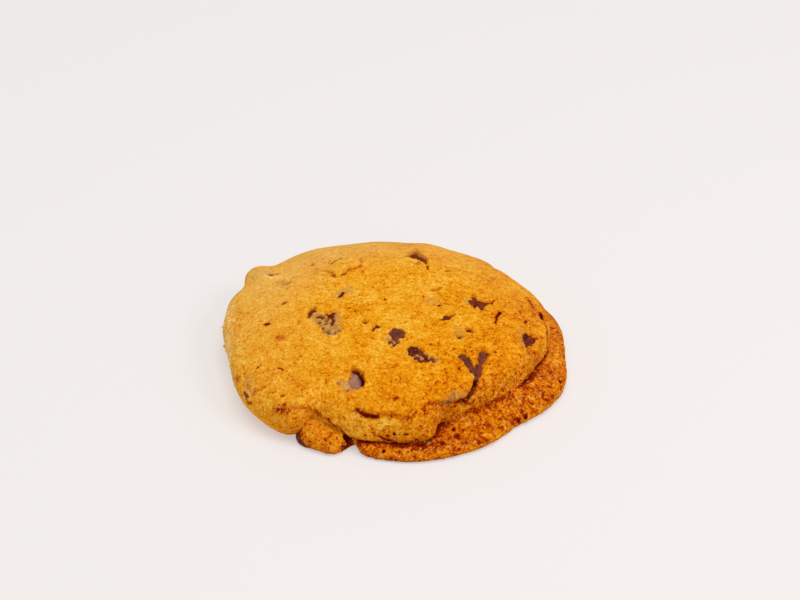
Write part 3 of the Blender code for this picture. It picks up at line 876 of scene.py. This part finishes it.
def remap(tree, value, low, high, toLow=0.0, toHigh=1.0):
    inputs = {"Value": value, "From Min": low, "From Max": high, "To Min": toLow, "To Max": toHigh}
    return addNode(tree, "ShaderNodeMapRange", inputs).outputs["Result"]


def calc(tree, operation, a, b):
    return addNode(tree, "ShaderNodeMath", {0: a, 1: b}, operation=operation).outputs[0]


def blend(tree, factor, a, b, way="MIX"):
    node = addNode(tree, "ShaderNodeMix", {0: factor, 6: a, 7: b}, data_type="RGBA", blend_type=way)
    return node.outputs[2]


def ramped(tree, value, stops):
    node = addNode(tree, "ShaderNodeValToRGB", {0: value})
    points = node.color_ramp.elements
    while len(points) < len(stops):
        points.new(0.5)
    for point, (at, colour) in zip(points, stops):
        point.position = at
        point.color = colour
    return node.outputs[0]


def valueOf(tree, name):
    return addNode(tree, "ShaderNodeAttribute", attribute_name=name).outputs["Fac"]


def startMaterial(name):
    material = bpy.data.materials.new(name)
    material.use_nodes = True
    tree = material.node_tree
    place = addNode(tree, "ShaderNodeTexCoord").outputs["Object"]
    return material, tree, tree.nodes["Principled BSDF"], place


def plainMaterial(name, colour, roughness):
    material = bpy.data.materials.new(name)
    material.use_nodes = True
    shader = material.node_tree.nodes["Principled BSDF"]
    shader.inputs["Base Color"].default_value = (*colour, 1)
    shader.inputs["Roughness"].default_value = roughness
    return material


doughLook = {
    "bake": [                    # from hardly baked to dark
        (0.00, paint(248, 208, 124)), (0.18, paint(243, 185, 68)), (0.38, paint(236, 161, 27)),
        (0.56, paint(222, 135, 9)), (0.74, paint(202, 102, 6)), (0.88, paint(172, 66, 2)),
        (1.00, paint(132, 32, 0))],
    # the colour of painted shade in crevices, grooves, cracks, pits, windows, the film's holes and at the foot
    "dark": paint(70, 10, 2),
    "film": paint(204, 166, 106),
    "filmShade": paint(156, 112, 66),
    # the paler, duller colour of painted shade and painted sheen behind and at the left
    "shadeAndSheen": paint(226, 172, 104),
    "cream": paint(252, 212, 128),
    # the colour of painted highlights on the rough dough
    "pale": paint(255, 188, 92),
    "tornShade": paint(212, 150, 56),
}


def makeDoughMaterial():
    material, tree, shader, place = startMaterial("bakedDough")
    bake = valueOf(tree, "bake")
    rough = valueOf(tree, "rough")
    patches = noiseFac(tree, place, 7.0, 3.0)
    mottle = noiseFac(tree, place, 1.6, 3.0, 0.6)
    grain = noiseFac(tree, place, 0.62, 2.0, 0.6)
    strength = remap(tree, rough, 0.0, 1.0, 1.18, 1.28)
    bake = calc(tree, "ADD", bake, remap(tree, patches, 0.3, 0.7, -0.10, 0.10))
    # painted light and shade: the fine grain, which is also the bump's height, pales the bake on its raised tops and
    # browns it in its hollows
    change = calc(tree, "ADD", remap(tree, mottle, 0.3, 0.7, -0.12, 0.12), remap(tree, grain, 0.3, 0.7, 0.16, -0.16))
    flecks = remap(tree, noiseFac(tree, place, 0.9, 2.0, 0.6), 0.58, 0.70, 0.0, 0.28)
    change = calc(tree, "ADD", change, flecks)
    bake = calc(tree, "ADD", bake, calc(tree, "MULTIPLY", change, strength))
    # dark carries painted shade: it browns the bake and then turns the colour to the painted shade colour
    dark = valueOf(tree, "dark")
    bake = calc(tree, "ADD", bake, calc(tree, "MULTIPLY", dark, 0.6))
    colour = ramped(tree, bake, doughLook["bake"])
    # painted shade and painted sheen behind and at the left, patchy with the mottle
    shadeAndSheen = calc(tree, "MULTIPLY", valueOf(tree, "shadeAndSheen"), remap(tree, mottle, 0.3, 0.7, 0.6, 1.0))
    colour = blend(tree, shadeAndSheen, colour, doughLook["shadeAndSheen"])
    # painted highlights: pale specks on the rough dough
    paintedGlints = remap(tree, noiseFac(tree, place, 0.95, 2.0), 0.56, 0.70, 0.0, 0.50)
    colour = blend(tree, calc(tree, "MULTIPLY", paintedGlints, rough), colour, doughLook["pale"])
    # painted light and shade: the torn crumbs are cream on the grain's raised tops and tornShade in its hollows
    crumb = blend(tree, remap(tree, grain, 0.36, 0.54), doughLook["tornShade"], doughLook["cream"])
    colour = blend(tree, calc(tree, "MULTIPLY", valueOf(tree, "torn"), 0.9), colour, crumb)
    film = calc(tree, "MULTIPLY", valueOf(tree, "film"), remap(tree, grain, 0.35, 0.6, 0.45, 0.90))
    filmColour = blend(tree, remap(tree, mottle, 0.40, 0.62), doughLook["filmShade"], doughLook["film"])
    colour = blend(tree, film, colour, filmColour)
    colour = blend(tree, remap(tree, dark, 0.5, 0.95), colour, doughLook["dark"])
    tree.links.new(colour, shader.inputs["Base Color"])
    shader.inputs["Roughness"].default_value = 0.85
    shader.inputs["Specular IOR Level"].default_value = 0.0
    fine = addNode(tree, "ShaderNodeBump", {"Height": grain, "Distance": 0.30 * mm, "Strength": 1.0})
    wide = addNode(tree, "ShaderNodeBump", {"Height": mottle, "Distance": 0.40 * mm, "Strength": 0.9,
                                           "Normal": fine.outputs[0]})
    tree.links.new(wide.outputs[0], shader.inputs["Normal"])
    return material


chocolateLook = {
    # the colour of painted shade where a chip turns down under a window's rim
    "edge": paint(52, 4, 0),
    "dark": paint(74, 12, 4),
    "warm": paint(122, 44, 14),
    # painted highlights on the chocolate
    "light": paint(150, 84, 56),
    # pale bloom of the chocolate: partly real bloom, partly painted sheen
    "bloomAndSheen": paint(172, 124, 108),
    "crumb": paint(214, 134, 44),
}


def makeChocolateMaterial():
    material, tree, shader, place = startMaterial("darkChocolate")
    clouds = noiseFac(tree, place, 1.3, 3.0, 0.6)
    smears = noiseFac(tree, place, 0.8, 2.0, 0.6)
    grain = noiseFac(tree, place, 0.35, 2.0)
    colour = blend(tree, remap(tree, clouds, 0.38, 0.62), chocolateLook["dark"], chocolateLook["warm"])
    # painted highlights: pale smears on the chocolate
    colour = blend(tree, remap(tree, smears, 0.58, 0.72, 0.0, 0.55), colour, chocolateLook["light"])
    # bloom and painted sheen on a chip's flat base, patchy with the smears
    bloomAndSheen = calc(tree, "MULTIPLY", valueOf(tree, "bloomAndSheen"), remap(tree, smears, 0.3, 0.6, 0.60, 1.0))
    colour = blend(tree, bloomAndSheen, colour, chocolateLook["bloomAndSheen"])
    # painted shade where a chip turns down under a window's rim
    colour = blend(tree, valueOf(tree, "edge"), colour, chocolateLook["edge"])
    crumbs = remap(tree, noiseFac(tree, place, 0.55, 1.0), 0.71, 0.76, 0.0, 0.6)
    colour = blend(tree, crumbs, colour, chocolateLook["crumb"])
    tree.links.new(colour, shader.inputs["Base Color"])
    tree.links.new(remap(tree, clouds, 0.3, 0.7, 0.38, 0.55), shader.inputs["Roughness"])
    shader.inputs["Specular IOR Level"].default_value = 0.1
    fine = addNode(tree, "ShaderNodeBump", {"Height": grain, "Distance": 0.03 * mm, "Strength": 0.6})
    wide = addNode(tree, "ShaderNodeBump", {"Height": smears, "Distance": 0.15 * mm, "Strength": 0.8,
                                           "Normal": fine.outputs[0]})
    tree.links.new(wide.outputs[0], shader.inputs["Normal"])
    return material


doughMaterial = makeDoughMaterial()
chocolateMaterial = makeChocolateMaterial()


# how brown each place is baked: more at the front, the right and the apron, less behind,
# and in stains: x, y seen from above, half width, how much

stains = [(-8.8, -2.5, 2.4, 0.16), (10.4, -7.6, 2.0, 0.22), (23.0, -2.8, 2.8, 0.10), (-27.0, -9.6, 1.5, 0.40),
          (-30.8, -3.9, 0.7, 0.45), (-26.6, 3.3, 0.8, 0.30), (-21.6, -11.3, 0.6, 0.3), (13.0, -29.0, 3.0, 0.05)]


# besides the bake this holds painted shade in hollows and beside the folds, and painted light on raised places and on
# the shaded roll at the front
def bakeValue(values):
    angle = skinAngle
    radius = np.hypot(skin[:, 0], skin[:, 1])
    bake = 0.40 + 0.17 * ramp(radius, 5, 31) * lobe(angle, -40, 85)
    bake -= 0.14 * ramp(radius, 12, 36) * lobe(angle, 135, 60)
    bake += 0.06 * values["rough"] + 0.08 * values["apron"]
    # the painted shade beside the folds is added to the bake
    bake += 0.06 * values["rough"] * lobe(angle, -60, 30) + 0.16 * values["paintedCreaseShade"]
    level = skin[:, 2]
    # painted light: the roll at the front, which lies in shade, is made paler
    bake -= 0.27 * lobe(angle, -97, 17) * ramp(level, 3.0, 5.0) * (1 - ramp(level, 9.5, 11)) * ramp(radius, 31, 33)
    bake += 0.03 * lobe(angle, -90, 45) * ramp(radius, 22, 28)
    bake += 0.12 * lobe(angle, 32, 40) * ramp(radius, 36, 39.5)
    bake -= 0.06 * lobe(angle, -142, 18) * ramp(radius, 28, 34)
    bake += 0.10 * lobe(angle, -118, 16) * (1 - ramp(level, 2.5, 5.0))
    bake -= 0.14 * values["apron"] * ramp(-skinNormal[:, 2], -0.55, -0.1) * plateau(angle, -80, 0, 8)
    # painted shade and light: places sunk by the relief are browner, raised places paler
    bake += 0.30 * np.clip(-doughHeight, 0, 0.5) - 0.12 * np.clip(doughHeight - 0.2, 0, 0.6)
    for x, y, half, more in stains:
        bake += more * np.exp(-((skin - onSkin(x, y)[0]) ** 2).sum(1) / half ** 2)
    return np.clip(bake, 0, 1)


def shadeAndSheenValue(values):
    # painted shade and painted sheen: the skin behind and at the left, turned from the light, is paler and duller, most
    # of all where it turns down
    back = lobe(skinAngle, 110, 70) * ramp(np.hypot(skin[:, 0], skin[:, 1]), 15, 33)
    left = lobe(skinAngle, 175, 32) * ramp(np.hypot(skin[:, 0], skin[:, 1]), 27, 37)
    return np.maximum(0.56 * back, 0.12 * left) * (1 - values["torn"])


doughValues["bake"] = bakeValue(doughValues)
doughValues["shadeAndSheen"] = shadeAndSheenValue(doughValues)
points, faces = closeUnderside(doughPlace, skinQuads, skinRim)
under = len(points) - len(doughPlace)
shown = {key: np.concatenate([value, np.full(under, 0.7 if key == "bake" else 0.0)])
         for key, value in doughValues.items() if key not in ("apron", "paintedCreaseShade")}
dough = writeMesh("dough", points, faces, doughMaterial, shown)
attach(dough, "root")
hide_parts("biscuit")
print("cookie: dough,", len(faces), "faces")



def nearWindowEdge(points, wide):
    # 1 under a window's rim, 0 from so far inside it, by the nearest skin point
    near = np.where((np.abs(skin - points.mean(0)) < 7).all(1) & (skinNormal[:, 2] > 0.1))[0]
    if len(near) == 0:
        return np.zeros(len(points))
    gap = ((points[:, None, :2] - skin[near][None, :, :2]) ** 2).sum(-1)
    opened = skinOpened[near][gap.argmin(1)]
    return 1 - ramp(opened, 0.3 * wide, wide)


# how much bloom and painted sheen each chip's flat base gets
bloomAndSheenShare = {"chip_on_edge": 1.0, "chip_middle": 0.12, "chip_fork": 0.10, "chip_left_side": 0.5}
for name in chipNodes:
    grid = chipGrids[name]
    points, faces = closedGrid(grid)
    facts = chipFacts[name]
    up = (points - facts["middle"]) @ facts["axis"] / facts["tall"]
    bloomAndSheen = bloomAndSheenShare.get(name, 0.0) * (1 - ramp(up, 0.02, 0.14))
    edge = 0 * bloomAndSheen
    if name == "chip_on_edge":
        # its right side turns down under the dough's wall and gets painted shade there
        edge = nearWindowEdge(points, 1.5) * ramp(points[:, 0] + 0.4 * points[:, 1], -19.6, -18.6)
    values = {"bloomAndSheen": bloomAndSheen, "edge": edge}
    piece = writeMesh(name.replace("chip_", "drop_"), points, faces, chocolateMaterial, values)
    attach(piece, "root")
    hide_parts(name)

allPoints = []
allFaces = []
for grid in speckGrids:
    points, faces = closedGrid(grid)
    start = sum(len(some) for some in allPoints)
    allPoints.append(points)
    allFaces += [[corner + start for corner in face] for face in faces]
piece = writeMesh("chocolateSpecks", np.vstack(allPoints), allFaces, chocolateMaterial)
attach(piece, "root")
print("cookie: chips and", len(speckGrids), "specks")


# stage, light and camera

stage = {
    "floor": 3.0,                        # metres
    "floorColour": (0.43, 0.415, 0.41),
    "floorGlow": 1.015,
    "worldColour": (1.0, 0.985, 0.97),
    "worldStrength": 0.53,
}
camera = {
    "lens": 85, "sensor": 36,
    "pitch": 35.5,                       # degrees below level
    "distance": 488, "aim": (1.46, 25.6, 0),   # mm
}


def makeFloor():
    half = stage["floor"] / 2 / mm
    corners = np.array([(-half, -half, 0), (half, -half, 0), (half, half, 0), (-half, half, 0)])
    material = plainMaterial("paleFloor", stage["floorColour"], 0.9)
    shader = material.node_tree.nodes["Principled BSDF"]
    shader.inputs["Specular IOR Level"].default_value = 0.0
    shader.inputs["Emission Color"].default_value = (*stage["floorColour"], 1)
    shader.inputs["Emission Strength"].default_value = stage["floorGlow"]
    writeMesh("floor", corners, [[0, 1, 2, 3]], material)


def addLight(name, place, aim, size, power, colour):
    data = bpy.data.lights.new(name, "AREA")
    data.shape = "RECTANGLE"
    data.size, data.size_y = size
    data.energy = power
    data.color = colour
    lamp = bpy.data.objects.new(name, data)
    lamp.location = place
    lamp.rotation_euler = (Vector(aim) - Vector(place)).to_track_quat("-Z", "Y").to_euler()
    bpy.context.collection.objects.link(lamp)


def makeCamera():
    data = bpy.data.cameras.new("view")
    data.lens = camera["lens"]
    data.sensor_width = camera["sensor"]
    data.clip_start = 0.01
    view = bpy.data.objects.new("view", data)
    pitch = math.radians(camera["pitch"])
    away = np.array([0, -math.cos(pitch), math.sin(pitch)]) * camera["distance"]
    view.location = (np.array(camera["aim"]) + away) * mm
    view.rotation_euler = (math.pi / 2 - pitch, 0, 0)
    bpy.context.collection.objects.link(view)
    bpy.context.scene.camera = view


makeFloor()
world = bpy.data.worlds.new("studio")
world.use_nodes = True
world.node_tree.nodes["Background"].inputs["Color"].default_value = (*stage["worldColour"], 1)
world.node_tree.nodes["Background"].inputs["Strength"].default_value = stage["worldStrength"]
bpy.context.scene.world = world
bpy.context.scene.view_settings.view_transform = "Standard"
addLight("key", (0.61, -0.30, 0.60), (0, 0, 0), (0.35, 0.35), 2.0, (1, 0.98, 0.95))
addLight("above", (0.05, -0.15, 1.20), (0, 0, 0), (0.80, 0.80), 6.6, (1, 0.99, 0.97))
makeCamera()
print("cookie: stage, light and camera")
